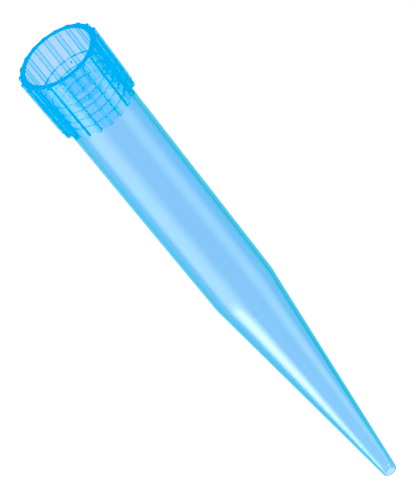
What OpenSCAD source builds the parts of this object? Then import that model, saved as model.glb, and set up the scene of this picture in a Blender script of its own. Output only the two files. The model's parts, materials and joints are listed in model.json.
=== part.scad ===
// One-piece moulded pipette tip for volumes up to 1000 microlitres.
// The axis is Z. The mouth of the socket is at z = 0 and the point hangs below it.
// The moulding is drawn region by region, so each region is a solid of its own,
// and neighbours meet face to face.

/* [Overall] */
// Length from the rim to the point
tip_length = 71; // [60:0.5:80]
// Number of sides that a preview gives each round surface
round_sides = 96; // [48:8:160]

/* [Socket] */
// Bore that the pipette's nozzle enters
socket_d = 7.3; // [7.1:0.05:7.5]
// Depth of the straight stretch of that bore, above the first sealing ring
straight_depth = 2.5; // [1.5:0.1:2.6]

/* [Collar] */
// Height of the thick collar, from the rim down to its ledge
collar_h = 7.1; // [7.1:0.05:8.5]
// Outside diameter of the collar's wall at the rim, between the ribs
collar_d_top = 8.5; // [8.2:0.05:8.6]
// Outside diameter of the collar's wall at its ledge, between the ribs
collar_d_bottom = 8.16; // [8:0.05:8.3]
// Rounding of the rim's outer edge
rim_round = 0.05; // [0.05:0.05:0.25]

/* [Ribs] */
// Number of ribs round the collar
rib_count = 20; // [8:1:24]
// Width of a rib
rib_w = 0.48; // [0.3:0.02:0.6]
// Diameter over the ribs at the rim
rib_d_top = 8.95; // [8.8:0.05:9.1]
// Diameter over the ribs at the ledge
rib_d_bottom = 8.72; // [8.5:0.05:8.9]

/* [Sealing rings] */
// Number of sealing rings inside the socket
ring_count = 4; // [1:1:4]
// Depth below the rim at which the first ring begins
ring_first = 3.08; // [2.9:0.02:3.12]
// Distance from one ring to the next
ring_pitch = 1.09; // [0.8:0.01:1.1]
// Width of a ring along the axis
ring_w = 0.6; // [0.4:0.05:0.6]
// Height that a ring stands in from the bore
ring_h = 0.16; // [0.05:0.01:0.18]
// Depth over which a ring's steep upper side rises to that height
ring_step = 0.03; // [0.02:0.01:0.2]

/* [Barrel] */
// Depth below the rim at which the barrel ends and the cone begins
barrel_end = 36.35; // [25:0.5:45]
// Outside diameter of the barrel under the ledge
barrel_d_top = 7.55; // [7.45:0.05:7.7]
// Outside diameter of the barrel at its lower end
barrel_d_bottom = 7.41; // [7.2:0.05:7.45]
// Thickness of the barrel's wall
barrel_wall = 0.45; // [0.35:0.05:0.55]

/* [Point] */
// Outside diameter of the point
point_d = 1.79; // [1.5:0.05:2]
// Diameter of the hole in the point
orifice_d = 1; // [0.6:0.05:1.1]
// Length of the straight stretch of that hole
orifice_land = 1; // [0.5:0.1:2]

/* [Hidden] */
$fn = round_sides;

// Blue of the clear plastic
tip_blue = [0.2, 0.66, 0.95];
// Overshoot of a cutting solid past the face that it cuts
over = 0.5;

// Radii of the bore where one region meets the next
socket_r = socket_d / 2;
barrel_bore_top = barrel_d_top / 2 - barrel_wall;
barrel_bore_bottom = barrel_d_bottom / 2 - barrel_wall;
orifice_r = orifice_d / 2;

// Radius of the socket's tapered stretch at a depth below the rim
function taper_r(depth) =
    socket_r + (barrel_bore_top - socket_r) * (depth - straight_depth) / (collar_h - straight_depth);

// Frustum that hangs from depth_top to depth_bottom below the rim
module frustum(depth_top, depth_bottom, r_top, r_bottom) {
    translate([0, 0, -depth_bottom])
        cylinder(h = depth_bottom - depth_top, r1 = r_bottom, r2 = r_top);
}

// Outside of the collar's wall, a plain cone that the ribs stand on
module collar_cone() {
    frustum(0, collar_h, collar_d_top / 2, collar_d_bottom / 2);
}

// Wall of the socket, with a rounded outer edge at the rim
module collar() {
    round_x = collar_d_top / 2 - rim_round;
    color(tip_blue)
    difference() {
        collar_cone();
        rotate_extrude()
            translate([round_x, -rim_round])
                difference() {
                    square(rim_round + over);
                    circle(r = rim_round);
                }
        translate([0, 0, -straight_depth]) cylinder(h = straight_depth + over, r = socket_r);
        frustum(straight_depth, collar_h, socket_r, barrel_bore_top);
    }
}

// One rib along the collar, from the ledge to just under the rim
module rib() {
    rib_h = collar_h - rim_round;
    difference() {
        intersection() {
            frustum(0, collar_h, rib_d_top / 2, rib_d_bottom / 2);
            translate([0, -rib_w / 2, -collar_h]) cube([rib_d_top, rib_w, rib_h]);
        }
        collar_cone();
    }
}

// All ribs, evenly spaced
module collar_ribs() {
    color(tip_blue)
    for (i = [0 : rib_count - 1])
        rotate([0, 0, i * 360 / rib_count]) rib();
}

// One sealing ring on the tapered bore, steep on its upper side and gentle below
module sealing_ring(depth) {
    crest = depth + ring_step;
    foot = depth + ring_w;
    rotate_extrude()
        polygon([
            [taper_r(depth), -depth],
            [taper_r(foot), -foot],
            [taper_r(crest) - ring_h, -crest]
        ]);
}

// All sealing rings, down the lower half of the socket
module sealing_rings() {
    color(tip_blue)
    for (i = [0 : ring_count - 1])
        sealing_ring(ring_first + i * ring_pitch);
}

// Nearly straight barrel between the collar and the cone
module barrel() {
    color(tip_blue)
    difference() {
        frustum(collar_h, barrel_end, barrel_d_top / 2, barrel_d_bottom / 2);
        frustum(collar_h, barrel_end, barrel_bore_top, barrel_bore_bottom);
    }
}

// Long cone down to the point, with a short straight hole at its end
module lower_cone() {
    land_top = tip_length - orifice_land;
    color(tip_blue)
    difference() {
        frustum(barrel_end, tip_length, barrel_d_bottom / 2, point_d / 2);
        frustum(barrel_end, land_top, barrel_bore_bottom, orifice_r);
        frustum(land_top, tip_length + over, orifice_r, orifice_r);
    }
}

collar();
collar_ribs();
sealing_rings();
barrel();
lower_cone();
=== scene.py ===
"""Looks of a clear blue pipette tip: one moulding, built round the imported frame.

The tip hangs free above a plain pale floor, with its mouth up, as the frame has it.
Lengths in this script are millimetres, and MM turns them into Blender's metres.
"""

import json
import math

import bpy
import numpy as np
from mathutils import Matrix, Vector

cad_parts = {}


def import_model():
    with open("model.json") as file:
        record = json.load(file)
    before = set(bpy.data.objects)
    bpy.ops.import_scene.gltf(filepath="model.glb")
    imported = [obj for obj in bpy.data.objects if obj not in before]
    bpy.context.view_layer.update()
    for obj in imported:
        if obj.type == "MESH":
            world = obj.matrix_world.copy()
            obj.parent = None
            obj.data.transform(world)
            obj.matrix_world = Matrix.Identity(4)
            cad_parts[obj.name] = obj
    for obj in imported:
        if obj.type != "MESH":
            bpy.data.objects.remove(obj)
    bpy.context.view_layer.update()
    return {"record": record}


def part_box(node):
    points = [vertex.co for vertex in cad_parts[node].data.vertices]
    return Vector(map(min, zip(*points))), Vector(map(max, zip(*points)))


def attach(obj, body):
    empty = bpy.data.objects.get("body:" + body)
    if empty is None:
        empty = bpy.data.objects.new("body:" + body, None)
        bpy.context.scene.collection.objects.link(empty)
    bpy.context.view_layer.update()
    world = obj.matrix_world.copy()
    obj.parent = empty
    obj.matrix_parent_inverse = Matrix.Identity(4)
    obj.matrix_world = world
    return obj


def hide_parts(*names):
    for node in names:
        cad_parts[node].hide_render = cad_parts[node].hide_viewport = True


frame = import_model()

MM = 0.001

# ---- Sizes, from the frame where it holds them --------------------------------------------


def reach(node):
    """How far a node reaches from the tip's axis along X, in millimetres."""
    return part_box(node)[1].x / MM


def depths(node):
    """Depth of a node's upper and lower end below the rim, in millimetres."""
    low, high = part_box(node)
    return -high.z / MM, -low.z / MM


SOCKET = frame["record"]["mounts"][0]["dims"]
SOCKET_R = SOCKET["r_mm"]
STRAIGHT_DEPTH = SOCKET["length_mm"]
COLLAR_TOP_R = reach("collar")
COLLAR_BOTTOM_R = 4.08
LEDGE_DEPTH = depths("collar")[1]
RIB_TOP_DEPTH = depths("collar_ribs")[0]
RIB_TOP_R = reach("collar_ribs")
RIB_BOTTOM_R = 4.36
RIB_COUNT = 20
RIB_HALF_WIDTH = 0.24
BARREL_TOP_R = reach("barrel")
BARREL_BOTTOM_R = reach("lower_cone")
BARREL_WALL = 0.45
BARREL_END = depths("barrel")[1]
TIP_LENGTH = depths("lower_cone")[1]
POINT_R = 0.895
ORIFICE_R = 0.5
ORIFICE_LAND = 1.0
RING_COUNT = 4
RING_FIRST = 3.08
RING_PITCH = 1.09
RING_HEIGHT = 0.16
# A sealing ring down the bore, as (depth below its upper edge, share of its height)
RING_SHAPE = (
    (-0.015, 0), (0, 0.03), (0.008, 0.1), (0.022, 0.88), (0.032, 0.97), (0.05, 1),
    (0.12, 0.94), (0.28, 0.65), (0.44, 0.3), (0.56, 0.06), (0.65, 0),
)
# Rounded top of a rib, as (depth below the rim's rounding, share of the rib's height)
RIB_RISE = ((0.004, 0.4), (0.012, 0.62), (0.03, 0.8), (0.06, 0.92), (0.1, 0.98), (0.15, 1))
# Straight stretch of a rib: how far below its top it begins, and how far above the ledge it ends
RIB_STRAIGHT = (0.4, 0.1)
# Rounded crown of a rib and its hollow foot, as (share of half the width, share of the height)
RIB_CROWN = ((0, 1), (0.3, 1), (0.6, 1), (0.78, 0.985), (0.9, 0.93), (0.97, 0.8))
RIB_FOOT = ((1, 0.5), (1.04, 0.2), (1.12, 0.05), (1.25, 0))
# Radius beyond the collar's at which a rib's width is measured
RIB_WAIST = 0.1

# Small roundings that a mould leaves
RIM_ROUND = 0.05
MOUTH_ROUND = 0.03
LEDGE_ROUND = 0.05
FILLET = 0.06
POINT_ROUND = 0.06
# Width of the ledge's row of faces beside the fillet
LEDGE_FLAT = 0.12


# ---- Mesh of the moulding -----------------------------------------------------------------


def arc(centre_r, centre_depth, radius, start, end, steps):
    """Points (r, depth) of an arc. Angles are in degrees, 0 outwards and 90 down."""
    angles = np.radians(np.linspace(start, end, steps + 1))
    return [(centre_r + radius * math.cos(a), centre_depth + radius * math.sin(a)) for a in angles]


def line(start, end, steps):
    """Points of a straight stretch, without its two ends."""
    shares = [i / steps for i in range(1, steps)]
    return [(start[0] + (end[0] - start[0]) * s, start[1] + (end[1] - start[1]) * s) for s in shares]


def taper(depth, top, bottom):
    """Radius at a depth of a cone through two points (r, depth)."""
    return top[0] + (bottom[0] - top[0]) * (depth - top[1]) / (bottom[1] - top[1])


def outside_profile():
    """Outside of the moulding from the rim down to the point, as (r, depth, share of rib)."""
    top = (COLLAR_TOP_R, 0)
    bottom = (COLLAR_BOTTOM_R, LEDGE_DEPTH)
    barrel_top = (BARREL_TOP_R, LEDGE_DEPTH)
    barrel_end = (BARREL_BOTTOM_R, BARREL_END)
    point = (POINT_R, TIP_LENGTH)

    def wall(depth, share):
        return (taper(depth, top, bottom), depth, share)

    rim = [(r, d, 0) for r, d in arc(COLLAR_TOP_R - RIM_ROUND, RIM_ROUND, RIM_ROUND, -90, 0, 4)]
    rim += [wall(RIB_TOP_DEPTH + d, share) for d, share in RIB_RISE]
    below_top, above_ledge = RIB_STRAIGHT
    straight = np.linspace(RIB_TOP_DEPTH + below_top, LEDGE_DEPTH - above_ledge, 10)
    side = [wall(d, 1) for d in straight]
    edge = arc(-LEDGE_ROUND, LEDGE_DEPTH - LEDGE_ROUND, LEDGE_ROUND, 0, 90, 4)
    ledge = [(COLLAR_BOTTOM_R + r, d, 1) for r, d in edge]

    fillet_end = LEDGE_DEPTH + 2 * FILLET
    point_start = TIP_LENGTH - 2 * POINT_ROUND
    start = (taper(fillet_end, barrel_top, barrel_end), fillet_end)
    lower = [(BARREL_TOP_R + FILLET + LEDGE_FLAT, LEDGE_DEPTH)]
    lower += arc(BARREL_TOP_R + FILLET, LEDGE_DEPTH + FILLET, FILLET, -90, -180, 3)
    lower += [start] + line(start, barrel_end, 14)
    lower += [barrel_end] + line(barrel_end, point, 18)
    lower += [(taper(point_start, barrel_end, point), point_start)]
    lower += arc(POINT_R - POINT_ROUND, TIP_LENGTH - POINT_ROUND, POINT_ROUND, 0, 90, 4)
    return rim + side + ledge + [(r, d, 0) for r, d in lower]


def bore_radius(depth):
    """Radius of the socket's tapered stretch at a depth, without its rings."""
    return taper(depth, (SOCKET_R, STRAIGHT_DEPTH), (BARREL_TOP_R - BARREL_WALL, LEDGE_DEPTH))


def sealing_ring(start):
    """One ring, steep above and gentle below, from its lower edge up."""
    rows = [(bore_radius(start + d) - RING_HEIGHT * share, start + d) for d, share in RING_SHAPE]
    return rows[::-1]


def inside_profile():
    """Inside of the moulding from the point up to the rim, as (r, depth, share of rib)."""
    edge = POINT_ROUND / 2
    land = (ORIFICE_R, TIP_LENGTH - ORIFICE_LAND)
    cone_top = (BARREL_BOTTOM_R - BARREL_WALL, BARREL_END)
    socket_end = (BARREL_TOP_R - BARREL_WALL, LEDGE_DEPTH)
    straight_end = (SOCKET_R, STRAIGHT_DEPTH)
    mouth = (SOCKET_R, 1.5 * MOUTH_ROUND)
    rows = arc(ORIFICE_R + edge, TIP_LENGTH - edge, edge, 90, 180, 3)
    rows += line((ORIFICE_R, TIP_LENGTH - POINT_ROUND), land, 3)
    rows += [land] + line(land, cone_top, 18)
    rows += [cone_top] + line(cone_top, socket_end, 14)
    rows += [socket_end]
    for i in reversed(range(RING_COUNT)):
        rows += sealing_ring(RING_FIRST + i * RING_PITCH)
    rows += [straight_end] + line(straight_end, mouth, 6)
    rows += [mouth]
    rows += arc(SOCKET_R + MOUTH_ROUND, MOUTH_ROUND, MOUTH_ROUND, 180, 270, 5)
    return [(r, d, 0) for r, d in rows]


def rib_section():
    """Half a rib's pitch as (angle in degrees from the rib's middle, share of its height)."""
    half = math.degrees(math.asin(RIB_HALF_WIDTH / (COLLAR_TOP_R + RIB_WAIST)))
    rib = [(half * width, height) for width, height in RIB_CROWN + RIB_FOOT]
    foot = rib[-1][0]
    to_middle_of_gap = 180 / RIB_COUNT - foot
    gap = [(foot + to_middle_of_gap * share, 0) for share in (0.25, 0.5, 0.75, 1)]
    return rib + gap


def moulding_grid():
    """Angles of the columns, each column's share of a rib's height, and the profile's rows."""
    half = rib_section()
    one = [(-a, h) for a, h in reversed(half[1:-1])] + half
    pitch = 360 / RIB_COUNT
    columns = [(a + i * pitch, h) for i in range(RIB_COUNT) for a, h in one]
    angles = np.radians([a for a, _ in columns])
    shares = np.array([h for _, h in columns])
    return angles, shares, np.array(outside_profile() + inside_profile())


def moulding():
    """The whole tip as one closed skin of quads."""
    angles, rib_shares, rows = moulding_grid()
    rib_top = (RIB_TOP_R - COLLAR_TOP_R, 0)
    rib_bottom = (RIB_BOTTOM_R - COLLAR_BOTTOM_R, LEDGE_DEPTH)
    height = np.array([taper(d, rib_top, rib_bottom) for d in rows[:, 1]]) * rows[:, 2]
    radius = rows[:, 0, None] + height[:, None] * rib_shares[None, :]
    below = -np.repeat(rows[:, 1, None], len(angles), 1)
    points = np.stack([radius * np.cos(angles), radius * np.sin(angles), below], -1)
    n_rows, n_columns = radius.shape
    i, j = np.meshgrid(np.arange(n_rows), np.arange(n_columns), indexing="ij")
    here, down = i * n_columns, (i + 1) % n_rows * n_columns
    right = (j + 1) % n_columns
    faces = np.stack([here + j, down + j, down + right, here + right], -1)
    mesh = bpy.data.meshes.new("tip_moulding")
    mesh.from_pydata((points.reshape(-1, 3) * MM).tolist(), [], faces.reshape(-1, 4).tolist())
    mesh.update()
    mesh.shade_smooth()
    piece = bpy.data.objects.new("tip_moulding", mesh)
    bpy.context.scene.collection.objects.link(piece)
    return piece


# ---- Nodes --------------------------------------------------------------------------------

# In these helpers a value is either plain or a (node, output) pair.


def feed(tree, made, name, value):
    """Links a pair to a node's input, or sets that input to a plain value."""
    if isinstance(value, tuple) and isinstance(value[0], bpy.types.Node):
        tree.links.new(value[0].outputs[value[1]], made.inputs[name])
    else:
        made.inputs[name].default_value = value


def node(tree, kind, inputs=None, **settings):
    """Adds a node, and feeds its inputs, given as {name or place: value}."""
    made = tree.nodes.new(kind)
    for name, value in settings.items():
        setattr(made, name, value)
    for name, value in (inputs or {}).items():
        feed(tree, made, name, value)
    return made


def maths(tree, operation, *terms):
    """Sum, product or other operation on numbers."""
    return node(tree, "ShaderNodeMath", dict(enumerate(terms)), operation=operation), "Value"


def vectors(tree, operation, *terms):
    """Operation on vectors."""
    made = node(tree, "ShaderNodeVectorMath", dict(enumerate(terms)), operation=operation)
    return made, "Value" if operation == "LENGTH" else "Vector"


def ranged(tree, value, start, end, low=0, high=1, kind="SMOOTHSTEP"):
    """Goes from low to high as the value goes from start to end."""
    inputs = {"Value": value, "From Min": start, "From Max": end, "To Min": low, "To Max": high}
    return node(tree, "ShaderNodeMapRange", inputs, interpolation_type=kind), "Result"


def mixed(tree, factor, a, b):
    """Mix of two numbers."""
    return node(tree, "ShaderNodeMix", {0: factor, 2: a, 3: b}, data_type="FLOAT"), 0


def mixed_colours(tree, factor, a, b):
    """Mix of two colours."""
    return node(tree, "ShaderNodeMix", {0: factor, 6: a, 7: b}, data_type="RGBA"), 2


# ---- Materials ----------------------------------------------------------------------------

# Colour that the plastic's dye lets through, and how strongly it absorbs the rest, per metre
DYE = (0, 0.55, 1, 1)
DYE_DENSITY = 1110
# Tint of the skin, from one end of its faint clouds to the other
TINTS = ((0.99, 0.7, 1, 1), (1, 0.73, 1, 1))
# Roughness of the skin over the middle values of the clouds
POLISH = (0.01, 0.04)
CLOUD_MIDDLE = (0.35, 0.65)
CLOUD_SCALE = 700
# Faint ripples of the moulded skin, with their height in metres
RIPPLE_SCALE = 900
RIPPLE_HEIGHT = 0.000001
# Dark mark in the far wall of the socket: its middle, and its reach along each axis, in metres
MARK = Vector((0.00070, 0.00358, -0.0036))
MARK_REACH = Vector((0.00009, 0.0004, 0.0003))
# Shares of its reach at which the mark has faded out, and at which it is full
MARK_EDGE = (1.2, 0.6)
MARK_COLOUR = (0, 0.04, 0.3, 1)


def mark(tree, where):
    """1 on the dark mark, and 0 elsewhere."""
    offset = vectors(tree, "DIVIDE", vectors(tree, "SUBTRACT", where, MARK), MARK_REACH)
    return ranged(tree, vectors(tree, "LENGTH", offset), *MARK_EDGE)


def noise(tree, where, scale, detail):
    """Soft random pattern."""
    inputs = {"Vector": where, "Scale": scale, "Detail": detail}
    return node(tree, "ShaderNodeTexNoise", inputs), 0


def blue_polypropylene():
    """Clear moulded plastic whose blue comes from the light that it absorbs on the way."""
    material = bpy.data.materials.new("blue_polypropylene")
    material.use_nodes = True
    tree = material.node_tree
    where = (node(tree, "ShaderNodeTexCoord"), "Object")
    clouds = noise(tree, where, CLOUD_SCALE, 3)
    ripples = noise(tree, where, RIPPLE_SCALE, 1)
    relief = node(tree, "ShaderNodeBump", {"Strength": 1, "Distance": RIPPLE_HEIGHT, "Height": ripples})
    tint = mixed_colours(tree, clouds, *TINTS)
    skin = {
        "Base Color": mixed_colours(tree, mark(tree, where), tint, MARK_COLOUR),
        "Roughness": ranged(tree, clouds, *CLOUD_MIDDLE, *POLISH, kind="LINEAR"),
        "Normal": (relief, "Normal"),
        "Transmission Weight": 1,
        "IOR": 1.49,
    }
    for name, value in skin.items():
        feed(tree, tree.nodes["Principled BSDF"], name, value)
    dye = node(tree, "ShaderNodeVolumeAbsorption", {"Color": DYE, "Density": DYE_DENSITY})
    feed(tree, tree.nodes["Material Output"], "Volume", (dye, "Volume"))
    return material


def pale_floor():
    """Matt white of a studio table."""
    material = bpy.data.materials.new("pale_floor")
    material.use_nodes = True
    shader = material.node_tree.nodes["Principled BSDF"]
    shader.inputs["Base Color"].default_value = (0.95, 0.95, 0.95, 1)
    shader.inputs["Roughness"].default_value = 0.9
    return material


# ---- Studio -------------------------------------------------------------------------------

# The studio's cards and boxes, as (from, to, brightness), with soft blends between them.
# Angles are azimuths in degrees from +Y towards +X. The camera stands at 180.
# INNER is what light sees that the tip has turned round once inside its walls.
INNER = (
    (-180, -140, 0.35), (-135, -105, 0.1), (-80, -65, 1.25), (-50, -45, 0.85), (-5, 5, 1.3),
    (20, 40, 0.85), (45, 60, 0.45), (70, 80, 0.85), (90, 130, 0), (155, 180, 0.35),
)
# GLOSS is what the outer skin mirrors: a soft box on either side of the camera.
GLOSS = (
    (-180, -160, 0.5), (-130, -105, 3.7), (-80, -45, 0.05), (-25, 25, 0.35), (45, 95, 0.05),
    (120, 135, 2.5), (155, 180, 0.5),
)
# The left soft box is brighter low down, where the cone mirrors it.
GLOSS_LOW = ((-180, -150, 0.7), (-120, -110, 8)) + GLOSS[2:]
# The soft boxes lean to green, which evens out the tone curve, so that they look white.
GLOSS_TONE = (1, 1.7, 1.3, 1)
WHITE = (1, 1, 1, 1)
# A ramp's colours stop at 1, so they hold shares of the brightest card.
BRIGHTEST = 10
# The room is a little over white, and plain white where it is seen through the plastic.
ROOM = 1.08
CLEAR = 1.0

# Heights of a ray's direction over which one light gives way to the next.
# INNER is for rays that go down as steeply as the camera looks, between these two edges.
LEVEL_LOW = (-0.8, -0.72)
LEVEL_HIGH = (-0.45, -0.53)
# Seen from the camera, the cone mirrors rays a little steeper than the barrel does.
CONE_EDGE = (-0.64, -0.7)
# Rays that go steeper still meet no boxes, only plain white.
STEEP_EDGE = (-0.76, -0.82)

# Camera in front of the tip: its place, what it looks at, its roll in degrees and its lens
CAMERA_PLACE = Vector((0, -178.91, 109.72))
CAMERA_AIM = Vector((-0.4, 0, -29.54))
CAMERA_ROLL = -38.85
CAMERA_LENS = 157.98
SENSOR_WIDTH = 36

# Floor and lamp, in metres, degrees and watts
FLOOR_Z = -0.5
FLOOR_R = 6
KEY_MIDDLE = Vector((0, 0, -0.035))
KEY_AZIMUTH = -60
KEY_ELEVATION = 50
KEY_DISTANCE = 0.5
KEY_SIZE = 0.4
KEY_POWER = 3

# Light goes round many times inside the clear walls before it leaves them.
BOUNCES = 160
CLEAR_BOUNCES = 128
# The deepest blue of the print: no red at all, but green and blue never go dark.
TONE_FLOOR = (0.1, -0.62, -0.6)


def floor():
    """Plain round floor, far enough below the tip to leave views from below clear."""
    place = (0, 0, FLOOR_Z)
    bpy.ops.mesh.primitive_circle_add(vertices=64, radius=FLOOR_R, fill_type="NGON", location=place)
    made = bpy.context.object
    made.name = "floor"
    made.data.materials.append(pale_floor())
    made.visible_glossy = False
    made.visible_transmission = False


def by_azimuth(tree, turn, cards):
    """Brightness round the horizon, as turn goes once round from 0 to 1."""
    stops = [(edge, brightness) for start, end, brightness in cards for edge in (start, end)]
    ramp = node(tree, "ShaderNodeValToRGB", {"Fac": turn})
    elements = ramp.color_ramp.elements
    for _ in stops[2:]:
        elements.new(0.5)
    for element, (degrees, brightness) in zip(elements, stops):
        element.position = (degrees + 180) / 360
        element.color = (brightness / BRIGHTEST,) * 3 + (1,)
    return maths(tree, "MULTIPLY", (ramp, "Color"), BRIGHTEST)


def world():
    """White room. Light that the tip mirrors or turns round sees the studio's cards in it."""
    made = bpy.data.worlds.new("studio")
    bpy.context.scene.world = made
    made.use_nodes = True
    tree = made.node_tree
    path = node(tree, "ShaderNodeLightPath")
    where = (node(tree, "ShaderNodeTexCoord"), "Generated")
    axes = node(tree, "ShaderNodeSeparateXYZ", {0: where})
    height = (axes, "Z")
    azimuth = maths(tree, "ARCTAN2", (axes, "X"), (axes, "Y"))
    turn = ranged(tree, azimuth, -math.pi, math.pi, kind="LINEAR")

    room = mixed(tree, (path, "Is Transmission Ray"), ROOM, CLEAR)
    edges = [ranged(tree, height, *edge) for edge in (LEVEL_LOW, LEVEL_HIGH)]
    once = maths(tree, "COMPARE", (path, "Glossy Depth"), 1, 0.5)
    carded = maths(tree, "MULTIPLY", maths(tree, "MULTIPLY", *edges), once)
    inner = mixed(tree, carded, room, by_azimuth(tree, turn, INNER))

    sides = [by_azimuth(tree, turn, cards) for cards in (GLOSS, GLOSS_LOW)]
    boxes = mixed(tree, ranged(tree, height, *CONE_EDGE), *sides)
    gloss = mixed(tree, ranged(tree, height, *STEEP_EDGE), boxes, CLEAR)

    mirrored = maths(tree, "MULTIPLY", (path, "Is Reflection Ray"), (path, "Is Glossy Ray"))
    background = tree.nodes["Background"]
    feed(tree, background, "Color", mixed_colours(tree, mirrored, WHITE, GLOSS_TONE))
    feed(tree, background, "Strength", mixed(tree, mirrored, inner, gloss))


def key_light():
    """Broad lamp to the left, above and behind the tip. Its light goes out level."""
    data = bpy.data.lights.new("key_light", "AREA")
    data.shape = "RECTANGLE"
    data.size = KEY_SIZE
    data.size_y = KEY_SIZE
    data.energy = KEY_POWER
    made = bpy.data.objects.new("key_light", data)
    bpy.context.scene.collection.objects.link(made)
    azimuth = math.radians(KEY_AZIMUTH)
    level = Vector((math.sin(azimuth), math.cos(azimuth), 0))
    rise = Vector((0, 0, math.tan(math.radians(KEY_ELEVATION))))
    made.location = KEY_MIDDLE + (level + rise) * KEY_DISTANCE
    made.rotation_mode = "QUATERNION"
    made.rotation_quaternion = level.to_track_quat("Z", "Y")
    made.visible_camera = False
    made.visible_transmission = False


def camera():
    """Looks down on the tip from the front, rolled so that the tip runs across the picture."""
    data = bpy.data.cameras.new("camera")
    data.lens = CAMERA_LENS
    data.sensor_width = SENSOR_WIDTH
    made = bpy.data.objects.new("camera", data)
    bpy.context.scene.collection.objects.link(made)
    turn = (CAMERA_AIM - CAMERA_PLACE).to_track_quat("-Z", "Y")
    roll = Matrix.Rotation(math.radians(CAMERA_ROLL), 4, "Z")
    made.matrix_world = Matrix.Translation(CAMERA_PLACE * MM) @ turn.to_matrix().to_4x4() @ roll
    bpy.context.scene.camera = made


def render_settings():
    """Bounces and tone curve."""
    scene = bpy.context.scene
    scene.cycles.max_bounces = BOUNCES
    scene.cycles.transmission_bounces = CLEAR_BOUNCES
    scene.cycles.glossy_bounces = CLEAR_BOUNCES
    scene.view_settings.view_transform = "Standard"
    scene.view_settings.use_curve_mapping = True
    scene.view_settings.curve_mapping.black_level = TONE_FLOOR
    scene.view_settings.curve_mapping.update()


floor()
world()
key_light()
camera()
render_settings()

tip = moulding()
tip.data.materials.append(blue_polypropylene())
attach(tip, "root")
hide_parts("collar", "collar_ribs", "sealing_rings", "barrel", "lower_cone")
